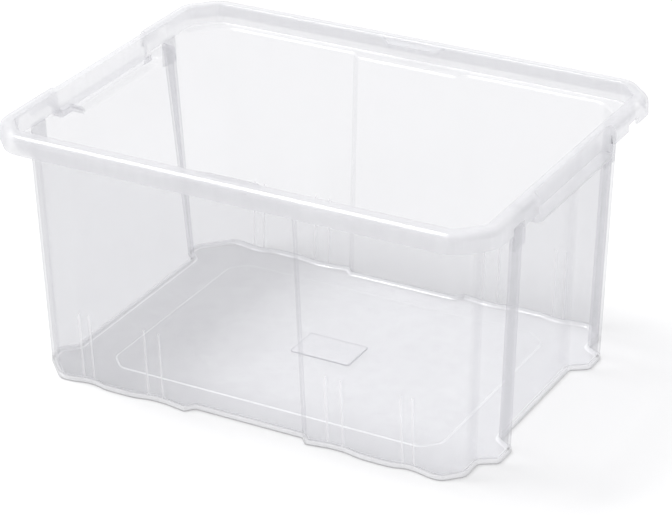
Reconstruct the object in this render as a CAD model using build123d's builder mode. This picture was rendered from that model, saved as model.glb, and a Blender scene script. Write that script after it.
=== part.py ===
"""Stackable and nestable storage bin, moulded in clear polypropylene.

The bin stands on Z = 0 with its centre over the origin. X runs along its long side, from
the end whose stacking posts stand at the corners (left, -X) to the end whose posts stand
further in (right, +X). Turned half way round, a second bin rests its posts on the shelves;
the same way round, its posts drop into the channels and it nests.
The front (-Y) and the back (+Y) are mirror images.
"""

import os
from math import hypot, sqrt

from build123d import *

# Driving dimensions, in millimetres
length = 400.0  # over the rim skirt, along X
width = 300.0  # over the rim skirt, along Y
height = 203.0  # to the top of the rim
wall = 2.0

# Rim: an inverted U whose inner wall stands on the ledge
rim_reach = 11.7  # from its inner face to the lowest outer edge of the skirt
rim_flat = 5.8  # width of the flat top
rim_chamfer = 16.0  # leg of the cut corner, on the inner face
ledge_top = 187.4
ledge_bottom = ledge_top - wall
shoulder_radius = 5.6  # round between the flat top and the skirt
shoulder_turn = 86.0  # degrees; the skirt below it flares slightly
edge_round = 0.8
skirt_bottom = 188.4
skirt_notch_top = 193.6

# Walls at the foot: half widths to the outer face
end_x = 171.5
side_y = 127.5
recess_y = 120.8  # the middle panel of each long wall stands back
spread = 5.7  # how far the walls lean outward between the foot and the ledge
flute_depth = 3.0  # at the foot
flute_rest = 0.15  # what is left of them from flute_top up
flute_top = 105.0

# Foot and floor
foot_height = 4.0
bead_proud = 0.6
floor_top = 1.9
plateau_rise = 0.5  # the middle of the floor is a low plateau
plateau_x = 137.0
plateau_y = 95.0
plateau_cut = 12.0
pad_size = (50.0, 32.0)
pad_rise = 2.2
pad_corner = 2.0
pad_round = 0.6

# Handles
lip_top = 182.4
lip_bottom = 179.8
lip_half = 61.8  # half length of the lip's free edge, along Y
pocket_half = 52.0  # half length of the pocket, where the lip reaches in to the end wall
lip_round = 1.2
grip_corner = 6.0  # radius at the ends of the scoop above the lip
block_end = 104.0  # |Y| where an end block meets the corner of the rim
notch_start = 84.0
notch_end = 100.0

# Centre tabs on the long rims
tab_reach = 6.5
tab_base = 26.0
tab_tip = 19.0
tab_drop = 2.2
tab_thick = 1.8

# Head of each post, a thicker pad just under the rim
head_height = 21.0
head_proud = 1.2
left_head_y = (-81.5, -98.0)  # its near and far ends, at the front
right_head_y = (-67.6, -84.0)

over_cut = 20.0  # how far a cutting block or an uncut run goes past what it has to

rim_x = length / 2 - rim_reach
rim_y = width / 2 - rim_reach
riser_x = rim_x + wall

# Each wall corner is (x, y) at the foot, outer face, going round the front half from the
# middle of the left end to the middle of the right end. A third value is the flute depth
# there; a fourth and fifth give the corner's own place at the ledge.
LEFT_POST = (1, 3)
LEFT_CORNER = (3, 4)
FRONT_LEFT = (4, 12)
FRONT_CENTRE = (12, 15)
FRONT_RIGHT = (15, 23)
RIGHT_CORNER = (23, 25)
RIGHT_POST = (25, 28)

flute_x = (149.0, 137.0, 128.5, 119.0, 94.7, 81.0, 68.6)
flutes = list(zip(flute_x, (0, 1, 1, 0, 0, 1, 1)))
corners = (
    [
        (-end_x, 0.0, 0),
        (-end_x, -84.0, 0, -end_x - spread, -76.5),
        (-182.0, -93.0, 0, -riser_x, -79.0),
        (-181.0, -105.0, 0, -riser_x + 1.0, -104.8),
    ]
    + [(-158.5, -side_y, 0)]
    + [(-x, -side_y, depth) for x, depth in flutes]
    + [(-50.5, -side_y, 0), (-44.5, -recess_y, 0), (44.5, -recess_y, 0), (50.5, -side_y, 0)]
    + [(x, -side_y, depth) for x, depth in reversed(flutes)]
    + [
        (158.5, -side_y, 0),
        (end_x, -114.5, 0),
        (end_x, -95.3, 0, end_x + spread, -98.0),
        (184.6, -87.0, 0, riser_x, -90.0),
        (184.6, -67.6, 0, riser_x, -67.6),
        (end_x, -58.4, 0, end_x + spread, -57.0),
        (end_x, 0.0, 0),
    ]
)


def moved(points, distance):
    """An open outline moved outward by a distance, with square mitres at its corners."""
    normals = []
    for start, end in zip(points, points[1:]):
        run = hypot(end[0] - start[0], end[1] - start[1])
        normals.append(((end[1] - start[1]) / run, (start[0] - end[0]) / run))
    result = []
    for i, (x, y) in enumerate(points):
        before = normals[max(i - 1, 0)]
        after = normals[min(i, len(normals) - 1)]
        share = distance / (1 + before[0] * after[0] + before[1] * after[1])
        result.append((x + share * (before[0] + after[0]), y + share * (before[1] + after[1])))
    return result


def outer_at(z):
    """Outer wall corners at a height: straight from the foot to the ledge, apart from the flutes."""
    foot = [(c[0], c[1]) for c in corners]
    ledge = moved(foot, spread)
    ledge = [(c[3], c[4]) if len(c) == 5 else point for point, c in zip(ledge, corners)]
    share = z / ledge_top
    depth = flute_rest + (flute_depth - flute_rest) * max(1 - z / flute_top, 0)
    return [
        (a[0] + share * (b[0] - a[0]), a[1] + share * (b[1] - a[1]) + depth * c[2])
        for a, b, c in zip(foot, ledge, corners)
    ]


def inner_at(z):
    """Inner wall corners at a height."""
    return moved(outer_at(z), -wall)


def mirrored(points):
    """The same points on the back half, in reverse order."""
    return [(x, -y) for x, y in reversed(points)]


def rim_corner_points(offset):
    """The two ends of the rim's cut corner at front right, a distance out from its inner face."""
    reach = rim_x + rim_y - rim_chamfer + sqrt(2) * offset
    x = rim_x + offset
    y = rim_y + offset
    return (reach - y, -y), (x, -(reach - x))


def ruled(sections):
    """A closed solid through outlines, each given as (z, points), straight between each two."""
    with BuildPart() as solid:
        for below, above in zip(sections, sections[1:]):
            for z, points in (below, above):
                with BuildSketch(Plane.XY.offset(z)):
                    with BuildLine():
                        Polyline(*points, close=True)
                    make_face()
            loft(ruled=True)
    return solid


def wall_section(first, last, z):
    """Outline of the wall between two corners."""
    return outer_at(z)[first : last + 1] + inner_at(z)[first : last + 1][::-1]


nodes = {}


def keep(name, part):
    """Labels a finished sub-part and files it under its name."""
    part.label = name
    nodes[name] = part


def keep_pair(front_name, back_name, part):
    """Files a front sub-part and its mirror image at the back."""
    back = part.mirror(Plane.XZ)
    keep(front_name, part)
    keep(back_name, back)


# Walls, corners and posts. The walls and corners carry the ledge; the posts run past it.
for stretch, span, levels in (
    ("wall_left", FRONT_LEFT, (foot_height, flute_top, ledge_bottom)),
    ("wall_centre", FRONT_CENTRE, (foot_height, ledge_bottom)),
    ("wall_right", FRONT_RIGHT, (foot_height, flute_top, ledge_bottom)),
    ("left_corner", LEFT_CORNER, (foot_height, ledge_bottom)),
    ("right_corner", RIGHT_CORNER, (foot_height, ledge_bottom)),
    ("left_post", LEFT_POST, (foot_height, ledge_top)),
    ("right_post", RIGHT_POST, (foot_height, ledge_top)),
):
    panel = ruled([(z, wall_section(*span, z)) for z in levels])
    keep_pair("front_" + stretch, "back_" + stretch, panel.part)


def end_section(corner, z):
    """Outline of an end wall at a height, from its front post to its back post."""
    outer = [outer_at(z)[corner]]
    inner = [inner_at(z)[corner]]
    return outer + mirrored(outer) + mirrored(inner) + inner


for side, corner, end_name in ((-1, 1, "left_end_wall"), (1, 28, "right_end_wall")):
    with BuildPart() as end_wall:
        for level in (foot_height, ledge_bottom):
            with BuildSketch(Plane.XY.offset(level)):
                with BuildLine():
                    Polyline(*end_section(corner, level), close=True)
                make_face()
        loft(ruled=True)
        # the handle's pocket
        with BuildSketch(Plane.XY.offset(lip_bottom)):
            with Locations((side * (end_x + spread), 0)):
                Rectangle(over_cut, 2 * pocket_half)
        extrude(amount=over_cut, mode=Mode.SUBTRACT)
    keep(end_name, end_wall.part)


# Foot bead, in four runs
def bead(first, last):
    """A run of the foot bead between two corners, proud of the wall above it."""
    proud = moved(outer_at(0), bead_proud)[first : last + 1]
    inside = inner_at(foot_height)[first : last + 1][::-1]
    return ruled([(z, proud + inside) for z in (0, foot_height)])


keep_pair("foot_bead_front", "foot_bead_back", bead(4, 23).part)


def end_bead(first, last):
    """The foot bead across an end, from chamfer to chamfer."""
    proud = moved(outer_at(0), bead_proud)[first : last + 1]
    inside = inner_at(foot_height)[first : last + 1]
    if first == 0:
        outline = proud[1:][::-1] + mirrored(proud[1:][::-1])
        outline += (mirrored(inside[1:][::-1]))[::-1] + inside[1:]
    else:
        outline = proud[:-1] + mirrored(proud[:-1])
        outline += mirrored(inside[:-1])[::-1] + inside[:-1][::-1]
    return ruled([(z, outline) for z in (0, foot_height)])


keep("foot_bead_left", end_bead(0, 4).part)
keep("foot_bead_right", end_bead(23, 29).part)

# Floor: a plate inside the bead, with a low plateau and a raised centre pad
floor_outline = inner_at(foot_height)[1:-1]
with BuildPart() as floor_panel:
    with BuildSketch():
        with BuildLine():
            Polyline(*floor_outline, *mirrored(floor_outline), close=True)
        make_face()
    extrude(amount=floor_top)
    with BuildSketch(Plane.XY.offset(floor_top)):
        plateau = Rectangle(2 * plateau_x, 2 * plateau_y)
        chamfer(plateau.vertices(), plateau_cut)
    extrude(amount=plateau_rise)
keep("floor_panel", floor_panel.part)

with BuildPart() as floor_pad:
    with BuildSketch(Plane.XY.offset(floor_top + plateau_rise)):
        RectangleRounded(*pad_size, pad_corner)
    extrude(amount=pad_rise - plateau_rise)
    fillet(floor_pad.faces().sort_by(Axis.Z)[-1].edges(), pad_round)
keep("floor_pad", floor_pad.part)


# Ledge under the rim: a plate all round, interrupted by the post channels and the handles
def ledge(points_at):
    """A ledge plate whose outline is given for each height."""
    return ruled([(z, points_at(z)) for z in (ledge_bottom, ledge_top)])


def ledge_front_points(z):
    """Along a long wall, out to the back of the rim's inner wall."""
    (corner_x, corner_y), _ = rim_corner_points(wall)
    return inner_at(z)[4:24] + [(corner_x, corner_y), (-corner_x, corner_y)]


def ledge_right_points(z):
    """Round the right corner as far as the post."""
    long_end, short_end = rim_corner_points(wall)
    outer = outer_at(z)
    return inner_at(z)[23:26] + [outer[25], (riser_x, outer[26][1]), short_end, long_end]


def ledge_left_points(z):
    """Round the left corner as far as the post."""
    long_end, short_end = rim_corner_points(wall)
    rim_points = [(-long_end[0], long_end[1]), (-short_end[0], short_end[1])]
    outer = outer_at(z)
    inner = inner_at(z)
    return [inner[4], *rim_points, (-riser_x, outer[3][1]), outer[3], inner[3]]


def shelf(side, corner, next_corner):
    """A shelf between a post and the handle's pocket, with the webs that close the pocket.

    A post of a bin stacked above stands here. corner is where the end wall meets the post
    and next_corner is the post's own corner beyond it.
    """
    pocket_end = wall - pocket_half
    riser = side * riser_x
    with BuildPart() as plate:
        for z in (ledge_bottom, ledge_top):
            outer = outer_at(z)
            inner = inner_at(z)
            with BuildSketch(Plane.XY.offset(z)):
                with BuildLine():
                    Polyline(
                        (inner[corner][0], pocket_end),
                        inner[corner],
                        outer[corner],
                        (riser, outer[next_corner][1]),
                        (riser, pocket_end),
                        close=True,
                    )
                make_face()
        loft(ruled=True)
        web_start = side * (end_x + spread)
        with BuildSketch(Plane.XY.offset(lip_top)):
            with BuildLine():
                Polyline(
                    (web_start, pocket_end),
                    (web_start, -pocket_half),
                    (side * rim_x, -pocket_half),
                    (side * rim_x, -lip_half),
                    (riser, -lip_half),
                    (riser, pocket_end),
                    close=True,
                )
            make_face()
        extrude(amount=ledge_bottom - lip_top)
    return plate


keep_pair("ledge_front", "ledge_back", ledge(ledge_front_points).part)
keep_pair("front_right_ledge", "back_right_ledge", ledge(ledge_right_points).part)
keep_pair("front_left_ledge", "back_left_ledge", ledge(ledge_left_points).part)
keep_pair("front_left_shelf", "back_left_shelf", shelf(-1, 1, 2).part)
keep_pair("front_right_shelf", "back_right_shelf", shelf(1, 28, 27).part)


# Rim
def rim_run(middle, outward, reach, mitres):
    """A straight run of the rim through a point of its inner face, cut by upright mitres."""
    across = Vector(*outward, 0)
    plane = Plane(origin=(*middle, 0), x_dir=across, z_dir=across.cross(Vector(0, 0, 1)))
    with BuildPart() as run:
        with BuildSketch(plane):
            with BuildLine():
                Polyline((wall, ledge_top), (0, ledge_top), (0, height - edge_round))
                RadiusArc((0, height - edge_round), (edge_round, height), edge_round)
                Line((edge_round, height), (rim_flat, height))
                outer_shoulder = JernArc((rim_flat, height), (1, 0), shoulder_radius, -shoulder_turn)
                Line(outer_shoulder @ 1, (rim_reach, skirt_bottom))
                Line((rim_reach, skirt_bottom), (rim_reach - wall, skirt_bottom))
                inner_shoulder = JernArc(
                    (rim_flat, height - wall), (1, 0), shoulder_radius - wall, -shoulder_turn
                )
                Line((rim_reach - wall, skirt_bottom), inner_shoulder @ 1)
                Polyline((rim_flat, height - wall), (wall, height - wall), (wall, ledge_top))
            make_face()
        extrude(amount=reach, both=True)
        for mitre in mitres:
            split(bisect_by=mitre, keep=Keep.TOP)
    return run


def upright_cut(at, along, kept):
    """An upright plane through a point and along a direction; its normal faces what is kept."""
    normal = Vector(along[1], -along[0], 0)
    if normal.dot(Vector(kept[0] - at[0], kept[1] - at[1], 0)) < 0:
        normal = -normal
    return Plane(origin=(*at, 0), x_dir=Vector(*along, 0), z_dir=normal)


long_corner, short_corner = rim_corner_points(0)
long_corner_out, short_corner_out = rim_corner_points(1)
long_mitre = (long_corner_out[0] - long_corner[0], long_corner_out[1] - long_corner[1])
short_mitre = (short_corner_out[0] - short_corner[0], short_corner_out[1] - short_corner[1])

rim_front = rim_run(
    (0, -rim_y),
    (0, -1),
    length / 2,
    [
        upright_cut(long_corner, long_mitre, (0, -rim_y)),
        upright_cut((-long_corner[0], long_corner[1]), (-long_mitre[0], long_mitre[1]), (0, -rim_y)),
    ],
)
keep_pair("rim_front", "rim_back", rim_front.part)

chamfer_middle = ((long_corner[0] + short_corner[0]) / 2, (long_corner[1] + short_corner[1]) / 2)
slant = rim_run(
    chamfer_middle,
    (sqrt(0.5), -sqrt(0.5)),
    rim_chamfer + over_cut,
    [
        upright_cut(long_corner, long_mitre, chamfer_middle),
        upright_cut(short_corner, short_mitre, chamfer_middle),
    ],
)
return_middle = (rim_x, (short_corner[1] - block_end) / 2)
rim_return = rim_run(
    return_middle,
    (1, 0),
    rim_chamfer + over_cut,
    [
        upright_cut(short_corner, short_mitre, return_middle),
        upright_cut((rim_x, -block_end), (1, 0), return_middle),
    ],
)
with BuildPart() as front_right_rim_corner:
    add(slant.part)
    add(rim_return.part)
left_rim_corner = front_right_rim_corner.part.mirror(Plane.YZ)
keep_pair("front_right_rim_corner", "back_right_rim_corner", front_right_rim_corner.part)
keep_pair("front_left_rim_corner", "back_left_rim_corner", left_rim_corner)

# End blocks, between a rim corner and the handle
block_middle = (rim_x, -(block_end + lip_half) / 2)
block_run = rim_run(block_middle, (1, 0), (block_end - lip_half) / 2, [])
with BuildPart() as end_block:
    add(block_run.part)
    # the skirt is cut away between the block and the corner
    with BuildSketch(Plane.XY.offset(skirt_notch_top)):
        with Locations((rim_x + rim_reach, -(notch_start + notch_end) / 2)):
            Rectangle(rim_reach, notch_end - notch_start)
    extrude(amount=-over_cut, mode=Mode.SUBTRACT)
    # the face that closes the block beside the handle
    with BuildSketch(Plane.XZ.offset(lip_half)):
        with BuildLine():
            Polyline(
                (rim_x + rim_flat, height - wall),
                (riser_x, height - wall),
                (riser_x, skirt_bottom),
                (rim_x + rim_reach - wall, skirt_bottom),
            )
            cap_shoulder = JernArc(
                (rim_x + rim_flat, height - wall), (1, 0), shoulder_radius - wall, -shoulder_turn
            )
            Line((rim_x + rim_reach - wall, skirt_bottom), cap_shoulder @ 1)
        make_face()
    extrude(amount=wall)
left_end_block = end_block.part.mirror(Plane.YZ)
keep_pair("front_right_end_block", "back_right_end_block", end_block.part)
keep_pair("front_left_end_block", "back_left_end_block", left_end_block)


# Handles
def lip_outline(z):
    """The right handle's lip in plan: narrow where it reaches in through the end wall."""
    half = [
        (length / 2, -lip_half),
        (riser_x - wall, -lip_half),
        (riser_x - wall, -pocket_half),
        (inner_at(z)[28][0], -pocket_half),
    ]
    return half + mirrored(half)


with BuildPart() as right_handle_lip:
    for level in (lip_bottom, lip_top):
        with BuildSketch(Plane.XY.offset(level)):
            with BuildLine():
                Polyline(*lip_outline(level), close=True)
            make_face()
    loft(ruled=True)
    fillet(right_handle_lip.edges().group_by(Axis.X)[-1].filter_by(Axis.Y), lip_round)
left_handle_lip = right_handle_lip.part.mirror(Plane.YZ)
keep("right_handle_lip", right_handle_lip.part)
keep("left_handle_lip", left_handle_lip)

with BuildPart() as right_handle_wall:
    # the upright wall behind the fingers, rounded into the blocks at both ends
    with BuildSketch(Plane.XY.offset(ledge_top)):
        with BuildLine():
            Polyline(
                (riser_x + grip_corner, -lip_half),
                (rim_x, -lip_half),
                (rim_x, lip_half),
                (riser_x + grip_corner, lip_half),
            )
            RadiusArc((riser_x + grip_corner, lip_half), (riser_x, lip_half - grip_corner), grip_corner)
            Line((riser_x, lip_half - grip_corner), (riser_x, grip_corner - lip_half))
            RadiusArc((riser_x, grip_corner - lip_half), (riser_x + grip_corner, -lip_half), grip_corner)
        make_face()
    extrude(amount=height - wall - ledge_top)
    with BuildSketch(Plane.XY.offset(lip_top)):
        with Locations(((rim_x + riser_x) / 2, 0)):
            Rectangle(wall, 2 * (pocket_half - wall))
    extrude(amount=ledge_top - lip_top)
    with BuildSketch(Plane.XY.offset(height - wall)):
        with Locations((rim_x + rim_flat / 2, 0)):
            Rectangle(rim_flat, 2 * lip_half)
    extrude(amount=wall)
    fillet(right_handle_wall.faces().sort_by(Axis.Z)[-1].edges().filter_by(Axis.Y), edge_round)
left_handle_wall = right_handle_wall.part.mirror(Plane.YZ)
keep("right_handle_wall", right_handle_wall.part)
keep("left_handle_wall", left_handle_wall)

# Tabs in the middle of the long rims, sloping down towards their tips
with BuildPart() as rim_tab_front:
    for inward, half, drop in ((0, tab_base, 0), (tab_reach, tab_tip, tab_drop)):
        with BuildSketch(Plane.XZ.offset(rim_y - inward)):
            with Locations((0, height - edge_round - drop - tab_thick / 2)):
                Rectangle(2 * half, tab_thick)
    loft(ruled=True)
keep_pair("rim_tab_front", "rim_tab_back", rim_tab_front.part)


# Post heads
def post_head(side, corner, y_near, y_far):
    """A pad on the outer face of a post, up to the rim; the face starts at a corner."""
    sections = []
    for z in (ledge_top - head_height, ledge_top):
        (x0, y0), (x1, y1) = outer_at(z)[corner : corner + 2]
        proud = side * (riser_x + head_proud)
        back = [(x0 + (x1 - x0) * (y - y0) / (y1 - y0), y) for y in (y_near, y_far)]
        sections.append((z, [(proud, y_far), (proud, y_near), *back]))
    return ruled(sections)


keep_pair("front_left_post_head", "back_left_post_head", post_head(-1, 2, *left_head_y).part)
keep_pair("front_right_post_head", "back_right_post_head", post_head(1, 26, *right_head_y).part)

os.makedirs("parts", exist_ok=True)
for name, part in nodes.items():
    export_step(part, f"parts/{name}.step")
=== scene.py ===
import math

import bpy
from mathutils import Euler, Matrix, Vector
from mathutils.geometry import tessellate_polygon


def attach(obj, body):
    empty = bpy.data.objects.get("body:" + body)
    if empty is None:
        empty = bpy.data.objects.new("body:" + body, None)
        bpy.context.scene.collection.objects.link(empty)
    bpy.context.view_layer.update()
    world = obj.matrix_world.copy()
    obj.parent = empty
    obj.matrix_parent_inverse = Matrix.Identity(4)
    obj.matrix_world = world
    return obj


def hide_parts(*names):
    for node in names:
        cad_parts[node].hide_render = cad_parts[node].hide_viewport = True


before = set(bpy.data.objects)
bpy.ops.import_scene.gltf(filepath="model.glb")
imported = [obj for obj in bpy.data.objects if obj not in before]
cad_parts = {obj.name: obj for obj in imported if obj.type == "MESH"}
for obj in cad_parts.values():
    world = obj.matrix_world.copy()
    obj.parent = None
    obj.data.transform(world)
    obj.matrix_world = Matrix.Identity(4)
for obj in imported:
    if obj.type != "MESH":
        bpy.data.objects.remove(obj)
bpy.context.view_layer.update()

MM = 0.001
NEAR = 1e-6  # places closer than this are the same place

# Sizes in millimetres, as in the CAD source
LENGTH, WIDTH, HEIGHT, WALL = 400.0, 300.0, 203.0, 2.0
RIM_REACH, RIM_FLAT, RIM_CHAMFER = 11.7, 5.8, 16.0
LEDGE_TOP, LEDGE_BOTTOM = 187.4, 185.4
SHOULDER, SHOULDER_TURN = 5.6, 86.0
SKIRT_BOTTOM, SKIRT_NOTCH_TOP = 188.4, 193.6
END_X, SIDE_Y, RECESS_Y = 171.5, 127.5, 120.8
SPREAD = 5.7
FLUTE_DEPTH, FLUTE_REST, FLUTE_TOP = 3.0, 0.15, 105.0
FOOT = 4.0
FLOOR_TOP, PLATEAU_RISE = 1.9, 0.5
PLATEAU_X, PLATEAU_Y, PLATEAU_CUT = 137.0, 95.0, 12.0
PAD_X, PAD_Y, PAD_CORNER, PAD_TOP = 25.0, 16.0, 2.0, 4.1
LIP_TOP, LIP_BOTTOM, LIP_HALF, POCKET_HALF = 182.4, 179.8, 61.8, 52.0
GRIP_CORNER, BLOCK_END, NOTCH_START, NOTCH_END = 6.0, 104.0, 84.0, 100.0
HEAD_BEVEL = 0.4
RIM_X = LENGTH / 2 - RIM_REACH
RIM_Y = WIDTH / 2 - RIM_REACH
RISER_X = RIM_X + WALL

# Wall corners of the front half, outer face: x, y, flute share, then the place at the ledge
# where it is the corner's own, and last how far each corner's round reaches along its sides
FLUTE_X = (149.0, 137.0, 128.5, 119.0, 94.7, 81.0, 68.6)
FLUTES = list(zip(FLUTE_X, (0, 1, 1, 0, 0, 1, 1)))
CORNERS = (
    [
        (-END_X, 0.0, 0, None, 0.0),
        (-END_X, -84.0, 0, (-END_X - SPREAD, -76.5), 3.5),
        (-182.0, -93.0, 0, (-RISER_X, -79.0), 3.0),
        (-181.0, -105.0, 0, (-RISER_X + 1.0, -104.8), 4.5),
        (-158.5, -SIDE_Y, 0, None, 5.0),
    ]
    + [(-x, -SIDE_Y, share, None, 5.0) for x, share in FLUTES]
    + [
        (-50.5, -SIDE_Y, 0, None, 1.6),
        (-44.5, -RECESS_Y, 0, None, 1.6),
        (44.5, -RECESS_Y, 0, None, 1.6),
        (50.5, -SIDE_Y, 0, None, 1.6),
    ]
    + [(x, -SIDE_Y, share, None, 5.0) for x, share in reversed(FLUTES)]
    + [
        (158.5, -SIDE_Y, 0, None, 4.0),
        (END_X, -114.5, 0, None, 4.0),
        (END_X, -95.3, 0, (END_X + SPREAD, -98.0), 3.0),
        (184.6, -87.0, 0, (RISER_X, -90.0), 3.0),
        (184.6, -67.6, 0, (RISER_X, -67.6), 3.0),
        (END_X, -58.4, 0, (END_X + SPREAD, -57.0), 3.0),
        (END_X, 0.0, 0, None, 0.0),
    ]
)


def moved(points, distance):
    """An open outline moved outward by a distance, with square mitres at its corners."""
    normals = []
    for start, end in zip(points, points[1:]):
        run = math.hypot(end[0] - start[0], end[1] - start[1])
        normals.append(((end[1] - start[1]) / run, (start[0] - end[0]) / run))
    result = []
    for i, (x, y) in enumerate(points):
        before = normals[max(i - 1, 0)]
        after = normals[min(i, len(normals) - 1)]
        share = distance / (1 + before[0] * after[0] + before[1] * after[1])
        result.append((x + share * (before[0] + after[0]), y + share * (before[1] + after[1])))
    return result


FOOT_CORNERS = [(c[0], c[1]) for c in CORNERS]
LEDGE_CORNERS = [c[3] or place for place, c in zip(moved(FOOT_CORNERS, SPREAD), CORNERS)]
REACHES = [c[4] for c in CORNERS]


def wall_corners(z, inward):
    """Wall corners at a height, on the outer face or moved inward from it."""
    share = z / LEDGE_TOP
    depth = FLUTE_REST + (FLUTE_DEPTH - FLUTE_REST) * max(1 - z / FLUTE_TOP, 0)
    points = [
        (a[0] + share * (b[0] - a[0]), a[1] + share * (b[1] - a[1]) + depth * c[2])
        for a, b, c in zip(FOOT_CORNERS, LEDGE_CORNERS, CORNERS)
    ]
    return moved(points, -inward) if inward else points


outlines = {}  # the wall's corners and their rounds, by height and distance inward


def on_outline(points, reaches, at):
    """The point of a polyline with rounded corners, at a corner number with a fraction."""
    last = len(points) - 1
    near = min(max(round(at), 1), last - 1)
    here = Vector(points[near])
    before = Vector(points[near - 1]) - here
    after = Vector(points[near + 1]) - here
    back = min(reaches[near] / before.length, 0.49)
    ahead = min(reaches[near] / after.length, 0.49)
    if near - back < at < near + ahead:
        t = 0.5 * (at - near + back) / back if at <= near else 0.5 + 0.5 * (at - near) / ahead
        first = here + before * back
        second = here + after * ahead
        return first * (1 - t) ** 2 + here * (2 * t * (1 - t)) + second * t * t
    low = min(int(at), last - 1)
    return Vector(points[low]).lerp(Vector(points[low + 1]), at - low)


def wall_at(s, z, inward=0.0):
    """A plan point of the wall's outer face, or of the face moved inward from it."""
    key = (round(z, 4), round(inward, 4))
    if key not in outlines:
        points = wall_corners(z, inward)
        turned = []
        for i, reach in enumerate(REACHES):
            if 0 < i < len(points) - 1 and inward:
                a = (Vector(points[i]) - Vector(points[i - 1])).normalized()
                b = (Vector(points[i + 1]) - Vector(points[i])).normalized()
                turn = math.atan2(a.x * b.y - a.y * b.x, a.dot(b))
                reach = max(reach - inward * math.tan(turn / 2), 0.5)
            turned.append(reach)
        outlines[key] = (points, turned)
    points, turned = outlines[key]
    return on_outline(points, turned, s)


def outward_at(s):
    """The outward direction of the wall's foot."""
    a = wall_at(max(s - 0.004, 0.0), 0.0)
    b = wall_at(min(s + 0.004, len(CORNERS) - 1.0), 0.0)
    along = (b - a).normalized()
    return Vector((along.y, -along.x))


# The rim's inner face in plan, front half
RIM_POINTS = [
    (-RIM_X, 0.0),
    (-RIM_X, RIM_CHAMFER - RIM_Y),
    (RIM_CHAMFER - RIM_X, -RIM_Y),
    (RIM_X - RIM_CHAMFER, -RIM_Y),
    (RIM_X, RIM_CHAMFER - RIM_Y),
    (RIM_X, 0.0),
]
RIM_ROUND = 4.0
SIDE_RUN = RIM_Y - RIM_CHAMFER
LONG_RUN = 2 * (RIM_X - RIM_CHAMFER)


def rim_at(r, offset=0.0):
    """A plan point of the rim, a distance out from its inner face."""
    points = moved(RIM_POINTS, offset) if offset else RIM_POINTS
    reach = RIM_ROUND + offset * math.tan(math.pi / 8)
    return on_outline(points, [reach] * len(points), r)


def end_place(side, y):
    """The rim's corner number at a distance |y| along an end."""
    return y / SIDE_RUN if side < 0 else 5 - y / SIDE_RUN


def long_place(x):
    """The rim's corner number, with a fraction, at an x along the front."""
    return 2 + (x + LONG_RUN / 2) / LONG_RUN


# Which place of the rim stands over each wall corner
ANCHORS = (
    [(0.0, 0.0), (1.0, end_place(-1, 76.5)), (2.0, end_place(-1, 79.0)), (3.0, end_place(-1, 104.8))]
    + [(float(i), long_place(LEDGE_CORNERS[i][0])) for i in range(4, 24)]
    + [
        (24.0, end_place(1, 112.0)),
        (25.0, end_place(1, 98.0)),
        (26.0, end_place(1, 90.0)),
        (27.0, end_place(1, 67.6)),
        (28.0, end_place(1, 57.0)),
        (29.0, 5.0),
    ]
)


def mapped(value, source, target):
    """A place on the wall or on the rim, from its place on the other."""
    for a, b in zip(ANCHORS, ANCHORS[1:]):
        if a[source] <= value <= b[source]:
            share = (value - a[source]) / (b[source] - a[source])
            return a[target] + share * (b[target] - a[target])
    return ANCHORS[-1][target]


PLATE = 2.0  # thickness of the end blocks' closing face
# Distances along an end where the rim's section changes: at a step there is a profile just
# before and just after it, and along a round there are several
HAIR = 0.02
STEPS = (LIP_HALF, LIP_HALF + PLATE, NOTCH_START, NOTCH_END)
ROUNDED = (49.0, 49.6, 50.2, 50.8, 51.4, 52.0, 55.8, 57.6, 59.2, 60.3, 61.1, BLOCK_END)
RIM_LENGTHS = (SIDE_RUN, RIM_CHAMFER * math.sqrt(2), LONG_RUN, RIM_CHAMFER * math.sqrt(2), SIDE_RUN)


def grid():
    """The places along the front half where a profile stands, as (wall place, rim place)."""
    places = set()
    for i, reach in enumerate(REACHES):
        places.add(float(i))
        if 0 < i < len(REACHES) - 1:
            before = (Vector(FOOT_CORNERS[i]) - Vector(FOOT_CORNERS[i - 1])).length
            after = (Vector(FOOT_CORNERS[i + 1]) - Vector(FOOT_CORNERS[i])).length
            for part in (1 / 3, 2 / 3, 1.0):
                places.add(i - min(reach / before, 0.49) * part)
                places.add(i + min(reach / after, 0.49) * part)
    rim_places = []
    for i in (1, 2, 3, 4):
        for part in (0.0, 0.25, 0.5, 0.75, 1.0, 1.3):
            rim_places.append(i - min(RIM_ROUND / RIM_LENGTHS[i - 1], 0.49) * part)
            rim_places.append(i + min(RIM_ROUND / RIM_LENGTHS[i], 0.49) * part)
    for side in (-1, 1):
        for y in STEPS:
            rim_places += [end_place(side, y - HAIR), end_place(side, y + HAIR)]
        for y in ROUNDED:
            rim_places.append(end_place(side, y))
    for r in rim_places:
        places.add(mapped(r, 1, 0))
    result = []
    for s in sorted(places):
        if not result or s - result[-1][0] > 1e-7:
            result.append((s, mapped(s, 0, 1)))
    return result


def bent(corner, toward, size, z, turn):
    """Three points of a small round where an upright face meets a level one.

    corner is the plan point of the upright face, toward the level face's direction, and turn
    is +1 where the upright face goes up from the level one, and -1 where it goes down.
    """
    return [
        (corner, z + turn * size),
        (corner + toward * (0.29 * size), z + turn * 0.29 * size),
        (corner + toward * size, z),
    ]


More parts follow.
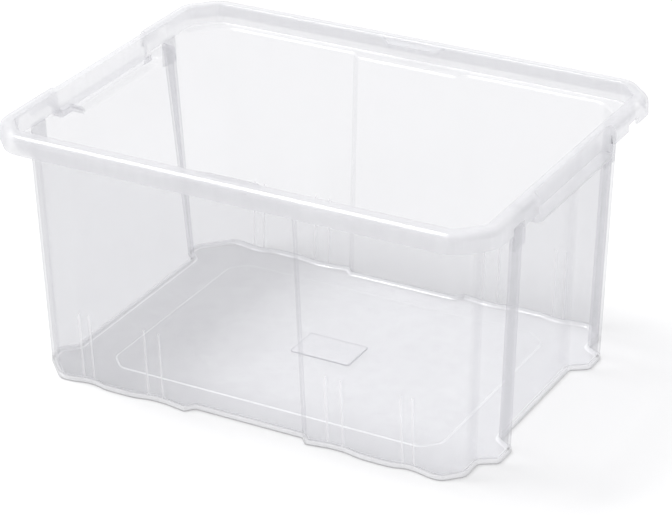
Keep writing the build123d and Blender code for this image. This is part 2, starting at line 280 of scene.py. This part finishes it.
def skirt_points(bottom):
    """The rim's underside, skirt and shoulder, as (distance out, height)."""
    centre = HEIGHT - SHOULDER
    result = [(RIM_FLAT, HEIGHT - WALL)]
    for k in range(1, 5):
        angle = math.radians(90 - SHOULDER_TURN * k / 4)
        inside = SHOULDER - WALL
        result.append((RIM_FLAT + inside * math.cos(angle), centre + inside * math.sin(angle)))
    flare = (RIM_REACH - result[-1][0] - WALL) / (result[-1][1] - SKIRT_BOTTOM)
    edge = RIM_REACH - (bottom - SKIRT_BOTTOM) * flare
    result.append((edge - WALL, bottom + 0.5))
    result.append((edge - WALL + 0.4, bottom))
    result.append((edge - 0.5, bottom))
    result.append((edge, bottom + 0.6))
    for k in range(8, -1, -1):
        angle = math.radians(90 - SHOULDER_TURN * k / 8)
        result.append((RIM_FLAT + SHOULDER * math.cos(angle), centre + SHOULDER * math.sin(angle)))
    return result


SKIRT_POINTS = len(skirt_points(SKIRT_BOTTOM))
SKIRT_INSIDE = 7  # how many of them are on its inner face


def direction(start, end, outward):
    """The direction and length from a wall's edge to the rim, or none where it isn't outward."""
    gap = end - start
    if gap.dot(outward) <= 0:
        return Vector((0.0, 0.0)), 0.0
    return gap.normalized(), gap.length


# The foot bead's section, as (distance out from the wall's foot, height)
BEAD_POINTS = ((-1.4, 0), (-0.5, 0), (0.15, 0.15), (0.5, 0.6), (0.6, 1.2), (0.6, 3.0), (0.4, 3.7))
WALL_LEVELS = (30, 60, 90, FLUTE_TOP, 150)  # heights of the wall's points between foot and ledge
CAP_EDGE = ((1.0, HEIGHT), (0.5, HEIGHT - 0.1), (0.12, HEIGHT - 0.45), (0.0, HEIGHT - 1.0))
POCKET_RAMP = 3.0  # the ledge drops to the lip over this length
UNDER_LEDGE_ROUND, UNDER_RISER_ROUND = 1.8, 1.0
RISER_ROUND, LEDGE_ROUND, FLOOR_ROUND = 1.2, 1.6, 2.4
SPAN_SHARE = 0.45  # a round takes no more of a ledge's width than this


def profile(s, r):
    """The wall's closed section at one place, from the foot up the outside and down the inside.

    Returns the points, a tag for the gap after each point, and the kind of section.
    """
    rim = rim_at(r)
    outward = (rim_at(r, 1.0) - rim).normalized()
    on_end = abs(abs(rim.x) - RIM_X) < 1e-3 and -rim.y < SIDE_RUN - RIM_ROUND
    along = -rim.y
    kind = "skirt"
    if on_end and along < LIP_HALF + PLATE:
        kind = "handle" if along < LIP_HALF else "plate"
    handle = kind == "handle"
    pocket = 0.0
    if on_end:
        t = min(max((POCKET_HALF - along) / POCKET_RAMP, 0.0), 1.0)
        pocket = t * t * (3 - 2 * t)
    under = LEDGE_BOTTOM + pocket * (LIP_BOTTOM - LEDGE_BOTTOM)
    over = LEDGE_TOP + pocket * (LIP_TOP - LEDGE_TOP)
    notch = on_end and NOTCH_START < along < NOTCH_END
    riser = WALL
    if handle and along > LIP_HALF - GRIP_CORNER:
        reach = along - LIP_HALF + GRIP_CORNER
        riser += GRIP_CORNER - math.sqrt(max(GRIP_CORNER**2 - reach**2, 0))
    points, tags = [], []

    def put(place, z, tag):
        points.append((place.x, place.y, z))
        tags.append(tag)

    foot = wall_at(s, 0.0)
    out = outward_at(s)
    for offset, z in BEAD_POINTS:
        put(foot + out * offset, z, "bead")
    put(wall_at(s, FOOT), FOOT + 0.3, "wall")
    for z in WALL_LEVELS:
        put(wall_at(s, z), z, "wall")

    # under the ledge, or under the pocket
    top = wall_at(s, under)
    riser_foot = rim if handle else rim_at(r, WALL)
    toward, span = direction(top, riser_foot, outward)
    small = min(UNDER_LEDGE_ROUND, SPAN_SHARE * span)
    for k, (place, z) in enumerate(bent(top, toward, small, under, -1)):
        put(place, z, "ledge" if k else "wall")
    small = min(UNDER_RISER_ROUND, SPAN_SHARE * span)
    turn = 1
    if handle:
        turn = -min(1.0, (under - LIP_BOTTOM) / 1.0)
    for place, z in reversed(bent(riser_foot, -toward, small, under, turn)):
        put(place, z, "ledge")
    low = LIP_BOTTOM if handle else under + small
    put(riser_foot, low, "rim")
    put(rim_at(r, WALL), low, "hidden" if handle else "rim")
    under_cap = HEIGHT - WALL
    if kind == "plate":
        put(rim_at(r, WALL), SKIRT_BOTTOM - 0.5, "rim")
        put(rim_at(r, WALL), SKIRT_BOTTOM - 0.25, "rim")
        for _ in range(3):
            put(rim_at(r, WALL + 0.3), SKIRT_BOTTOM, "rim")
    else:
        put(rim_at(r, WALL), LIP_TOP if handle else low, "rim")
        put(rim_at(r, riser), LIP_TOP if handle else low, "rim")
        put(rim_at(r, riser), under_cap - 1.0, "rim")
        put(rim_at(r, riser + 0.3), under_cap - 0.3, "rim")
        put(rim_at(r, riser + 0.9), under_cap, "rim")

    # the skirt, or the plain edge over the handle
    if handle:
        cap = max(RIM_FLAT, riser + 1.0)
        edges = [(cap, under_cap), (cap, HEIGHT - 0.6), (cap - 0.2, HEIGHT - 0.2)]
        edges += [(cap - 0.6, HEIGHT)] * (SKIRT_POINTS - len(edges))
    else:
        edges = skirt_points(SKIRT_NOTCH_TOP if notch else SKIRT_BOTTOM)
    if kind == "plate":
        edges[:SKIRT_INSIDE] = [edges[SKIRT_INSIDE]] * SKIRT_INSIDE
    for offset, z in edges:
        put(rim_at(r, offset), z, "rim")
    for offset, z in CAP_EDGE:
        put(rim_at(r, offset), z, "rim")

    # down to the ledge, in along it, and down the inside of the wall
    edge = wall_at(s, over, WALL)
    toward, span = direction(edge, rim, outward)
    small = min(RISER_ROUND, SPAN_SHARE * span)
    for place, z in bent(rim, -toward, small, over, 1):
        put(place, z, "ledge")
    small = min(LEDGE_ROUND, SPAN_SHARE * span)
    for place, z in reversed(bent(edge, toward, small, over, -1)):
        put(place, z, "ledge")
    tags[-1] = "wall"
    for z in reversed(WALL_LEVELS):
        put(wall_at(s, z, WALL), z, "wall")
    inner = wall_at(s, FLOOR_TOP, WALL)
    for place, z in bent(inner, -out, FLOOR_ROUND, FLOOR_TOP, 1):
        put(place, z, "floor")
    return points, tags, kind


SKIRT_FIRST = 26  # where the skirt starts in a section
RISER_FIRST = SKIRT_FIRST - 5  # where the outer face of the rim's inner wall starts
CREASE_TOP = 60  # the creases of the flutes get a painted highlight up to here
MIDDLE = 14  # the wall corner from which the right half is counted
BLOCK_BACK = 8.0  # how far out the end blocks' closing face starts
BLOCK_TOP = 202.5


# The wall's nodes, each up to a corner number
WALL_NODES = (
    (1, "left_end_wall"),
    (3, "front_left_post"),
    (4, "front_left_corner"),
    (12, "front_wall_left"),
    (15, "front_wall_centre"),
    (23, "front_wall_right"),
    (25, "front_right_corner"),
    (28, "front_right_post"),
    (30, "right_end_wall"),
)


def region(tag, s, r):
    """The CAD node that a part of the section stands for, at a place of the front half."""
    left = s < MIDDLE
    side = "left" if left else "right"
    if tag == "bead":
        if s < 4:
            return "foot_bead_left"
        return "foot_bead_right" if s > 23 else "foot_bead_front"
    if tag == "floor":
        return "floor_panel"
    if tag == "wall":
        return next(name for limit, name in WALL_NODES if s < limit)
    if tag == "ledge":
        if 4 < s < 23:
            return "ledge_front"
        if left:
            return "front_left_ledge" if s > 3 else "front_left_shelf"
        return "front_right_ledge" if s < 26 else "front_right_shelf"
    if 2 < r < 3:
        return "rim_front"
    along = -rim_at(r).y
    if along > BLOCK_END:
        return f"front_{side}_rim_corner"
    return f"front_{side}_end_block" if along > LIP_HALF else f"{side}_handle_wall"


def back_name(name):
    """The mirror image's node."""
    if name.startswith("front_"):
        return "back_" + name[6:]
    return name[:-6] + "_back" if name.endswith("_front") else name


vertices, faces, labels, accents = [], [], [], []
vertex_numbers = {}


def vertex(x, y, z):
    """The number of the vertex at a place in millimetres, made if it isn't there yet."""
    key = (round(x, 3), round(y, 3), round(z, 3))
    if key not in vertex_numbers:
        vertex_numbers[key] = len(vertices)
        vertices.append((x * MM, y * MM, z * MM))
    return vertex_numbers[key]


def face(corners, name, both=True, accent=0):
    """A face, and if both is true its mirror image at the back.

    accent is the face's material slot: 0 plain, 1 an edge with a painted highlight, 2 a crease with a
    painted highlight.
    """
    for sign, label in ((1, name), (-1, back_name(name)))[: 2 if both else 1]:
        ring = []
        for x, y, z in corners[::sign]:
            number = vertex(x, sign * y, z)
            if number not in ring:
                ring.append(number)
        if len(ring) > 2:
            faces.append(ring)
            labels.append(label)
            accents.append(accent)


def rim_polygon(r, flat, name, towards_middle):
    """An upright face across the rim at one place, given as (distance out, height)."""
    corners = [(*rim_at(r, offset), z) for offset, z in flat]
    face(corners[::-1] if towards_middle else corners, name)


columns = [(s, r, *profile(s, r)) for s, r in grid()]
for (s0, r0, points0, tags0, kind0), (s1, r1, points1, tags1, kind1) in zip(columns, columns[1:]):
    s, r = (s0 + s1) / 2, (r0 + r1) / 2
    meets_block = "handle" in (kind0, kind1) and kind0 != kind1
    for k in range(len(points0) - 1):
        if tags0[k] == "hidden" and tags1[k] == "hidden":
            continue
        if meets_block and RISER_FIRST <= k < SKIRT_FIRST + SKIRT_POINTS - 1:
            continue
        tag = "rim" if tags0[k] == "hidden" else tags0[k]
        corners = [points0[k], points1[k], points1[k + 1], points0[k + 1]]
        # faces at the flutes' creases get a painted highlight (slot 2), floor faces a painted highlight
        # edge (slot 1)
        crease = tag == "wall" and CORNERS[round(s1)][2] and abs(s1 - round(s1)) < NEAR
        crease = crease and k < SKIRT_FIRST and points1[k + 1][2] <= CREASE_TOP
        face(corners, region(tag, s, r), accent=2 if crease else int(tag == "floor"))
    if meets_block:
        block = [point for point in skirt_points(SKIRT_BOTTOM)[SKIRT_INSIDE:] if point[0] > BLOCK_BACK]
        shown = [(BLOCK_BACK, SKIRT_BOTTOM), *block, (BLOCK_BACK, BLOCK_TOP)]
        back = [(WALL, LIP_TOP), (BLOCK_BACK, LIP_TOP), (BLOCK_BACK, SKIRT_BOTTOM), (WALL, SKIRT_BOTTOM)]
        name = "front_left_end_block" if s < MIDDLE else "front_right_end_block"
        rim_polygon(r, shown, name, s > MIDDLE)
        rim_polygon(r, back, name, s < MIDDLE)

# Floor: the underside, the strip round the plateau, and the plateau
under_ring = [c[2][0] for c in columns]
under_ring += [(x, -y, z) for x, y, z in under_ring[-2:0:-1]]
face(under_ring[::-1], "floor_panel", both=False)


PLATEAU_ROUND = 4.0


def plateau_ring(grow, z):
    """The plateau's outline with rounded corners."""
    x, y, cut = PLATEAU_X + grow, PLATEAU_Y + grow, PLATEAU_CUT + grow * 0.6
    shape = [(-x, y - cut), (-x, cut - y), (cut - x, -y), (x - cut, -y)]
    shape += [(-x, -y) for x, y in shape]
    ring = []
    for i, here in enumerate(shape):
        here = Vector(here)
        before = (Vector(shape[i - 1]) - here).normalized()
        after = (Vector(shape[(i + 1) % 8]) - here).normalized()
        for t in (0, 0.25, 0.5, 0.75, 1):
            first = here + before * PLATEAU_ROUND
            second = here + after * PLATEAU_ROUND
            place = first * (1 - t) ** 2 + here * (2 * t * (1 - t)) + second * t * t
            ring.append((place.x, place.y, z))
    return ring


outer_ring = [c[2][-1] for c in columns]
outer_ring += [(x, -y, z) for x, y, z in outer_ring[-2:0:-1]]
# the plateau's sloping edge, as (distance out, rise)
PLATEAU_EDGE = ((1.3, 0.0), (0.9, 0.12), (0.3, 0.42), (0.0, PLATEAU_RISE))
rings = [plateau_ring(grow, FLOOR_TOP + rise) for grow, rise in PLATEAU_EDGE]
both_rings = outer_ring + rings[0]
for triangle in tessellate_polygon([[Vector(p) for p in outer_ring], [Vector(p) for p in rings[0]]]):
    corners = [both_rings[i] for i in triangle]
    a, b, c = (Vector(p) for p in corners)
    face(corners if (b - a).cross(c - a).z > 0 else corners[::-1], "floor_panel", both=False)
# the plateau's sloping edge gets the painted highlight edge (slot 1)
for ring, inner_ring in zip(rings, rings[1:]):
    for i in range(len(ring)):
        j = (i + 1) % len(ring)
        face([ring[i], ring[j], inner_ring[j], inner_ring[i]], "floor_panel", both=False, accent=1)
face(rings[-1], "floor_panel", both=False)

# The whole skin as one mesh, only to work out its shading; level faces are shaded flat
SHARP_ANGLE = math.radians(50)
whole = bpy.data.meshes.new("whole")
whole.from_pydata(vertices, [], faces)
whole.update()
whole.shade_smooth()
for polygon in whole.polygons:
    heights = [whole.vertices[v].co.z for v in polygon.vertices]
    polygon.use_smooth = max(heights) - min(heights) > NEAR
whole.set_sharp_from_angle(angle=SHARP_ANGLE)
carrier = bpy.data.objects.new("carrier", whole)
bpy.context.scene.collection.objects.link(carrier)
weighted = carrier.modifiers.new("weighted", "WEIGHTED_NORMAL")
weighted.keep_sharp = True
evaluated = carrier.evaluated_get(bpy.context.evaluated_depsgraph_get()).to_mesh()
corner_normals = [tuple(n.vector) for n in evaluated.corner_normals]
starts = [p.loop_start for p in evaluated.polygons]
for polygon in whole.polygons:
    if not polygon.use_smooth:
        for corner in polygon.loop_indices:
            corner_normals[corner] = tuple(polygon.normal)


def skin(name):
    """One region of the bin's skin as its own piece, shaded as part of the whole."""
    numbers, rings, normals, slots = {}, [], [], []
    for number, (ring, label) in enumerate(zip(faces, labels)):
        if label != name:
            continue
        rings.append([numbers.setdefault(v, len(numbers)) for v in ring])
        normals += corner_normals[starts[number] : starts[number] + len(ring)]
        slots.append(accents[number])
    local = sorted(numbers, key=numbers.get)
    mesh = bpy.data.meshes.new(name + "_skin")
    mesh.from_pydata([vertices[v] for v in local], [], rings)
    mesh.update()
    mesh.shade_smooth()
    mesh.normals_split_custom_set(normals)
    mesh.polygons.foreach_set("material_index", slots)
    piece = bpy.data.objects.new(name + "_skin", mesh)
    bpy.context.scene.collection.objects.link(piece)
    return piece


def finish_piece(piece, material, *nodes):
    """Gives a piece its materials, slot and body, and hides the CAD nodes it takes the place of."""
    slots = [p.material_index for p in piece.data.polygons]
    piece.data.materials.clear()
    piece.data.materials.append(material)
    if any(slots):
        piece.data.materials.append(edge_highlight_plastic)
        piece.data.materials.append(crease_highlight_plastic)
        piece.data.polygons.foreach_set("material_index", slots)
    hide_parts(*nodes)
    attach(piece, "root")


GRAZING_POWER = 4.5  # how suddenly the plastic looks thicker towards edge on
CLOUDINESS, STREAKINESS = 0.2, 0.2
HEAD_ON_GLOSS, EDGE_ON_GLOSS, GLOSS_ROUGHNESS = 0.04, 0.4, 0.14
MILK_ROUGHNESS, MILK_ROUGHNESS_RANGE = 0.24, 0.12
MOST_MILK = 0.92


def plastic(name, haze, edge_haze, tint, edge_tint, milk_tone=0.90, painted_shade=None, glow_share=0.45):
    """Clear natural polypropylene, one surface of a thin wall.

    haze is the milky share seen square on and edge_haze seen edge on; tint and edge_tint are
    what the clear share lets through. milk_tone is how light the milky share is, and
    glow_share how much of it lets light through instead of back. painted_shade is (axis,
    start, end, tone), a painted shade: towards start along an axis, in metres, the plastic
    is darker by tone, standing in for shade that falls there.
    """
    material = bpy.data.materials.new(name)
    material.use_nodes = True
    nodes, links = material.node_tree.nodes, material.node_tree.links
    nodes.clear()

    def feed(socket, value):
        """Links or sets a socket."""
        if isinstance(value, bpy.types.NodeSocket):
            links.new(value, socket)
        else:
            socket.default_value = value

    def node(kind, **inputs):
        made = nodes.new(kind)
        for key, value in inputs.items():
            feed(made.inputs[key.replace("_", " ")], value)
        return made

    def maths(operation, *values):
        made = nodes.new("ShaderNodeMath")
        made.operation = operation
        for socket, value in zip(made.inputs, values):
            feed(socket, value)
        return made.outputs[0]

    def between(factor, first, second):
        """A colour between two colours."""
        made = nodes.new("ShaderNodeMix")
        made.data_type = "RGBA"
        feed(made.inputs[0], factor)
        feed(made.inputs[6], (*first, 1))
        feed(made.inputs[7], (*second, 1))
        return made.outputs[2]

    def scaled(colour, factor):
        made = nodes.new("ShaderNodeVectorMath")
        made.operation = "SCALE"
        feed(made.inputs[0], colour)
        feed(made.inputs["Scale"], factor)
        return made.outputs[0]

    def mixed(share, first, second):
        """A mix of two shaders."""
        made = node("ShaderNodeMixShader", Fac=share)
        feed(made.inputs[1], first.outputs[0])
        feed(made.inputs[2], second.outputs[0])
        return made

    place = node("ShaderNodeTexCoord").outputs["Object"]
    cloud = node("ShaderNodeTexNoise", Vector=place, Scale=14.0, Detail=3.0, Roughness=0.55).outputs["Fac"]
    flow = node("ShaderNodeMapping", Vector=place, Scale=(26.0, 26.0, 5.0)).outputs[0]
    streak = node("ShaderNodeTexNoise", Vector=flow, Scale=3.0, Detail=2.0).outputs["Fac"]
    speck = node("ShaderNodeTexNoise", Vector=place, Scale=160.0, Detail=2.0).outputs["Fac"]
    facing = node("ShaderNodeLayerWeight", Blend=0.5).outputs["Facing"]
    grazing = maths("POWER", facing, GRAZING_POWER)
    milk = maths("MULTIPLY_ADD", grazing, edge_haze - haze, haze)
    cloudy = maths("MULTIPLY_ADD", cloud, CLOUDINESS, 1 - CLOUDINESS / 2)
    streaky = maths("MULTIPLY_ADD", streak, STREAKINESS, 1 - STREAKINESS / 2)
    milk = maths("MINIMUM", maths("MULTIPLY", milk, maths("MULTIPLY", cloudy, streaky)), MOST_MILK)
    shine = maths("MULTIPLY_ADD", maths("POWER", facing, 5.0), EDGE_ON_GLOSS, HEAD_ON_GLOSS)

    cool, warm = (milk_tone - 0.03, milk_tone - 0.015), (milk_tone + 0.03, milk_tone + 0.04)
    milk_colour = between(cloud, (cool[0], cool[0], cool[1]), (warm[0], warm[0], warm[1]))
    through_colour = between(grazing, tint, edge_tint)
    # painted shade: both colours darken towards start along the axis
    if painted_shade:
        axis, start, end, tone = painted_shade
        fade = nodes.new("ShaderNodeMapRange")
        fade.interpolation_type = "SMOOTHSTEP"
        along = node("ShaderNodeSeparateXYZ", Vector=place).outputs[axis]
        for socket, value in zip(fade.inputs, (along, start, end, tone, 1.0)):
            feed(socket, value)
        milk_colour = scaled(milk_colour, fade.outputs[0])
        through_colour = scaled(through_colour, fade.outputs[0])

    clear = node("ShaderNodeBsdfTransparent", Color=through_colour)
    body = node(
        "ShaderNodeBsdfPrincipled",
        Base_Color=milk_colour,
        Roughness=maths("MULTIPLY_ADD", streak, MILK_ROUGHNESS_RANGE, MILK_ROUGHNESS),
        Normal=node("ShaderNodeBump", Strength=0.02, Distance=0.0002, Height=speck).outputs[0],
        IOR=1.49,
    )
    glow = node("ShaderNodeBsdfTranslucent", Color=milk_colour)
    gloss = node("ShaderNodeBsdfGlossy", Roughness=GLOSS_ROUGHNESS)
    whole_shader = mixed(shine, mixed(milk, clear, mixed(glow_share, body, glow)), gloss)
    output = node("ShaderNodeOutputMaterial")
    feed(output.inputs["Surface"], whole_shader.outputs[0])
    return material


def grey(value, blue=0.003):
    """A grey, very slightly blue."""
    return (value, value, value + blue)


wall_plastic = plastic("clear_wall", 0.075, 0.35, grey(0.933, 0.006), grey(0.80, 0.02))
rim_plastic = plastic("clear_rim", 0.32, 0.45, grey(0.952, 0.004), grey(0.70, 0.03), milk_tone=0.93)
# Foot bead, with painted contact shade: darker towards its underside, where it meets the floor
foot_plastic = plastic(
    "clear_foot",
    0.5,
    0.55,
    grey(0.97),
    grey(0.8, 0.02),
    milk_tone=0.95,
    painted_shade=("Z", 0.0002, 0.0013, 0.55),
    glow_share=0.2,
)
# Floor, with a painted shadow: darker towards the left end, where the left end wall and rim shade it
floor_plastic = plastic(
    "clear_floor",
    0.46,
    0.55,
    grey(0.985),
    grey(0.8, 0.02),
    milk_tone=0.96,
    painted_shade=("X", -0.15, 0.02, 0.93),
)
pad_plastic = plastic(
    "clear_pad", 0.3, 0.4, grey(0.985), grey(0.85, 0.02), milk_tone=0.96, glow_share=0.05
)
# Painted shade: the pad's sides are a darker copy of its plastic
pad_side_shade_plastic = plastic(
    "clear_pad_side_painted_shade", 0.35, 0.4, grey(0.7, 0.02), grey(0.7, 0.02), milk_tone=0.66, glow_share=0.2
)
# Painted highlight: milkier, whiter faces along the plateau's sloping edge and the floor's round at the
# wall foot, standing in for bright lines of light there
edge_highlight_plastic = plastic(
    "painted_highlight_edge", 0.7, 0.8, grey(0.97), grey(0.8, 0.02), milk_tone=0.96, glow_share=0.1
)
# Painted highlight: whiter faces along the flutes' creases, standing in for light streaks near the bottom
crease_highlight_plastic = plastic(
    "painted_highlight_crease", 0.3, 0.5, grey(0.95), grey(0.8, 0.02), milk_tone=0.96, glow_share=0.2
)

for name in sorted(set(labels)):
    material = wall_plastic
    if "rim" in name or "block" in name or "handle" in name:
        material = rim_plastic
    if name.startswith("foot"):
        material = foot_plastic
    if name == "floor_panel":
        material = floor_plastic
    finish_piece(skin(name), material, name)
bpy.data.objects.remove(carrier)


LIP_CORNER = 4.0  # radius at the ends of the lip, in plan
LIP_STATIONS = (0, 0.15, 0.5, 1.0, 1.8, 2.8, LIP_CORNER, LIP_HALF - 30.0, LIP_HALF)


def lip(side):
    """A handle's lip: the level flange that fingers go under, rounded at its edge and ends."""
    lip_vertices, lip_faces = [], []
    stations = [LIP_HALF - from_end for from_end in LIP_STATIONS]
    stations = [-y for y in stations] + stations[-2::-1]
    for y in stations:
        short = max(LIP_CORNER - (LIP_HALF - abs(y)), 0.0)
        reach = RIM_REACH - LIP_CORNER + math.sqrt(LIP_CORNER**2 - short**2)
        section = [(WALL, LIP_BOTTOM), (reach - 1.3, LIP_BOTTOM), (reach - 0.4, LIP_BOTTOM + 0.35)]
        section += [(reach, LIP_BOTTOM + 1.3), (reach - 0.4, LIP_TOP - 0.35)]
        section += [(reach - 1.3, LIP_TOP), (WALL, LIP_TOP)]
        for offset, z in section:
            lip_vertices.append((side * (RIM_X + offset) * MM, y * MM, z * MM))
    count = len(section)
    for i in range(len(stations) - 1):
        for k in range(count - 1):
            ring = [i * count + k, (i + 1) * count + k, (i + 1) * count + k + 1, i * count + k + 1]
            lip_faces.append(ring if side > 0 else ring[::-1])
    last = (len(stations) - 1) * count
    lip_faces.append(list(range(count))[::side])
    lip_faces.append(list(range(last, last + count))[::-side])
    mesh = bpy.data.meshes.new("lip")
    mesh.from_pydata(lip_vertices, [], lip_faces)
    mesh.update()
    mesh.shade_smooth()
    mesh.set_sharp_from_angle(angle=SHARP_ANGLE)
    name = ("right" if side > 0 else "left") + "_handle_lip"
    piece = bpy.data.objects.new(name + "_skin", mesh)
    bpy.context.scene.collection.objects.link(piece)
    finish_piece(piece, rim_plastic, name)


lip(1)
lip(-1)


PAD_EDGE = ((0.0, 1.7), (0.0, 0.6), (0.18, 0.18), (0.6, 0.0))  # distance inward, distance down


def pad_ring(inward, z):
    """The floor pad's outline with rounded corners, moved inward, at a height."""
    ring = []
    for corner, (across, along) in enumerate(((1, 1), (-1, 1), (-1, -1), (1, -1))):
        for step in range(5):
            angle = math.radians(90 * corner + 22.5 * step)
            x = across * (PAD_X - PAD_CORNER) + (PAD_CORNER - inward) * math.cos(angle)
            y = along * (PAD_Y - PAD_CORNER) + (PAD_CORNER - inward) * math.sin(angle)
            ring.append((x * MM, y * MM, z * MM))
    return ring


def floor_pad():
    """The raised pad in the middle of the floor, open below where it joins the floor."""
    rings = [pad_ring(inward, PAD_TOP - down) for inward, down in PAD_EDGE]
    count = len(rings[0])
    pad_faces = []
    for k in range(len(rings) - 1):
        for i in range(count):
            j = (i + 1) % count
            pad_faces.append([k * count + i, k * count + j, (k + 1) * count + j, (k + 1) * count + i])
    pad_faces.append([(len(rings) - 1) * count + i for i in range(count)])
    mesh = bpy.data.meshes.new("floor_pad_skin")
    mesh.from_pydata([v for ring in rings for v in ring], [], pad_faces)
    mesh.update()
    piece = bpy.data.objects.new("floor_pad_skin", mesh)
    bpy.context.scene.collection.objects.link(piece)
    finish_piece(piece, pad_plastic, "floor_pad")
    # the sides get the painted shade
    mesh.materials.append(pad_side_shade_plastic)
    for number, polygon in enumerate(mesh.polygons):
        polygon.material_index = 1 if number < count else 0


floor_pad()

# The small solid pieces keep their CAD shape, with their edges rounded
for name, node_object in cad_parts.items():
    if node_object.hide_render:
        continue
    node_object.data.materials.clear()
    node_object.data.materials.append(wall_plastic if "head" in name else rim_plastic)
    bevel = node_object.modifiers.new("edges", "BEVEL")
    bevel.width = HEAD_BEVEL * MM
    bevel.segments = 2
    bevel.limit_method = "ANGLE"

# Studio floor, light and camera
bpy.ops.mesh.primitive_plane_add(size=30, location=(0, 0, -0.3 * MM))
floor = bpy.context.object
floor.name = "studio_floor"
paper = bpy.data.materials.new("studio_paper")
paper.use_nodes = True
paper_shader = paper.node_tree.nodes["Principled BSDF"]
paper_shader.inputs["Base Color"].default_value = (0.50, 0.50, 0.502, 1)
paper_shader.inputs["Roughness"].default_value = 0.9
paper_shader.inputs["Specular IOR Level"].default_value = 0.0
paper_shader.inputs["Emission Color"].default_value = (1, 1, 1, 1)
paper_shader.inputs["Emission Strength"].default_value = 0.36
floor.data.materials.append(paper)

world = bpy.data.worlds.new("studio")
bpy.context.scene.world = world
world.use_nodes = True
sky = world.node_tree.nodes["Background"]
sky.inputs["Color"].default_value = (0.99, 0.99, 1.0, 1)
sky.inputs["Strength"].default_value = 0.80


def sun(name, energy, place, spread):
    """A distant lamp that shines from a place towards the origin; spread is in degrees."""
    data = bpy.data.lights.new(name, "SUN")
    data.energy = energy
    data.angle = math.radians(spread)
    lamp = bpy.data.objects.new(name, data)
    lamp.location = place
    lamp.rotation_euler = (-Vector(place)).to_track_quat("-Z", "Y").to_euler()
    bpy.context.scene.collection.objects.link(lamp)


sun("key", 2.2, (-1.05, -0.12, 2.0), 22)
sun("glint", 0.35, (-0.43, -0.25, 0.87), 7)

camera_data = bpy.data.cameras.new("camera")
camera_data.lens = 149.55
camera_data.sensor_width = 36
camera = bpy.data.objects.new("camera", camera_data)
camera.location = (0.90356, -1.61705, 1.00824)
camera.rotation_euler = Euler([math.radians(a) for a in (63.342, 0.548, 28.740)], "XYZ")
bpy.context.scene.collection.objects.link(camera)
bpy.context.scene.camera = camera
bpy.context.scene.view_settings.view_transform = "Standard"
bpy.context.scene.cycles.transparent_max_bounces = 64
